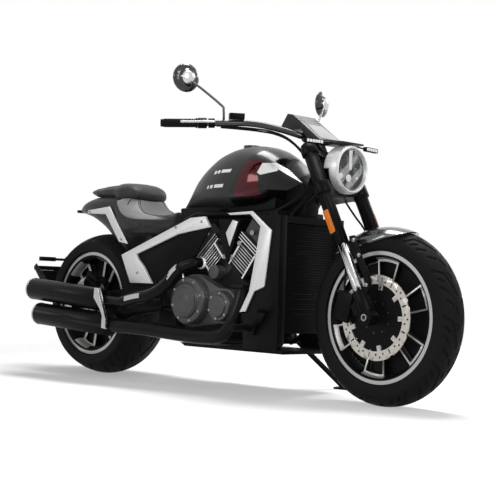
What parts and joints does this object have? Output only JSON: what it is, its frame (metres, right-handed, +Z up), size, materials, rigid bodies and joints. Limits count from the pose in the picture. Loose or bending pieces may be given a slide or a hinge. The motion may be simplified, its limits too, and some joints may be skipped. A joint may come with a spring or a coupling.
{
  "type": "motorcycle",
  "caption": "V-twin power cruiser motorcycle parked on its side stand, with a fat rear tyre, round headlamp and stacked mufflers; wheels, steering and stand turn.",
  "frame": {"origin": "on the ground under the middle of the whole motorcycle's box", "axes": "+X forward, +Y to the rider's left, +Z up"},
  "size_m": [2.4119, 0.979, 1.3215],
  "materials": {
    "tyre": "matte",
    "cast_black": "satin",
    "brake_steel": "satin",
    "chrome": "polished",
    "axle_steel": "satin",
    "gloss_black": "gloss",
    "bar_metal": "satin",
    "rubber": "matte",
    "plastic_black": "satin",
    "silver": "satin",
    "silver_plastic": "satin",
    "lens": "gloss",
    "dash_grey": "satin",
    "amber": "gloss",
    "frame_black": "satin",
    "engine_black": "matte",
    "engine_grey": "satin",
    "radiator_metal": "matte",
    "tank_paint": "satin",
    "seat_leather": "satin",
    "tail_paint": "satin",
    "exhaust_black": "satin",
    "red_lens": "gloss"
  },
  "bodies": {
    "chassis": {"frame": "frame_black", "swingarm": "cast_black", "rear_axle": "axle_steel", "crankcase": "engine_black", "engine_covers": "engine_grey", "cylinders": "engine_black", "intake": "plastic_black", "front_shrouds": "silver_plastic", "radiator": "radiator_metal", "radiator_shroud": "plastic_black", "tank": "tank_paint", "tank_wings": "gloss_black", "seats": "seat_leather", "tail": "tail_paint", "side_trims": "silver", "side_covers": "plastic_black", "headers": "exhaust_black", "mufflers": "exhaust_black", "muffler_rings": "chrome", "tail_lamp": "red_lens", "plate_holder": "plastic_black", "foot_controls": "cast_black", "belt": "rubber"},
    "front_wheel": {"front_tyre": "tyre", "front_wheel": "cast_black", "front_rotors": "brake_steel"},
    "rear_wheel": {"rear_tyre": "tyre", "rear_wheel": "cast_black", "rear_rotor": "brake_steel", "rear_pulley": "cast_black"},
    "steering": {"fork_tubes": "cast_black", "fork_sliders": "chrome", "fork_feet": "cast_black", "yokes": "cast_black", "front_axle": "axle_steel", "front_calipers": "cast_black", "front_fender": "gloss_black", "handlebar": "bar_metal", "grips": "rubber", "hand_controls": "plastic_black", "levers": "silver", "mirrors": "gloss_black", "headlamp_bezel": "silver", "headlamp_lens": "lens", "headlamp_shell": "plastic_black", "dash": "dash_grey", "front_signals": "plastic_black", "reflectors": "amber"},
    "side_stand": {"side_stand": "frame_black"}
  },
  "joints": [
    {"name": "steering", "type": "hinge", "parent": "chassis", "child": "steering", "pos_m": [0.55771, -0.00971, 0.87457], "axis": [-0.454, 0.0466, 0.8898], "range_deg": [-35, 35]},
    {"name": "front_wheel_spin", "type": "hinge", "parent": "steering", "child": "front_wheel", "pos_m": [0.874, -0.03816, 0.33165], "axis": [0, 0.9986, -0.0523], "continuous": true},
    {"name": "rear_wheel_spin", "type": "hinge", "parent": "chassis", "child": "rear_wheel", "pos_m": [-0.776, -0.03854, 0.32442], "axis": [0, 0.9986, -0.0523], "continuous": true},
    {"name": "side_stand_fold", "type": "hinge", "parent": "chassis", "child": "side_stand", "pos_m": [0.254, 0.1075, 0.20675], "axis": [0, 0.848, 0.5299], "range_deg": [0, 115]}
  ]
}
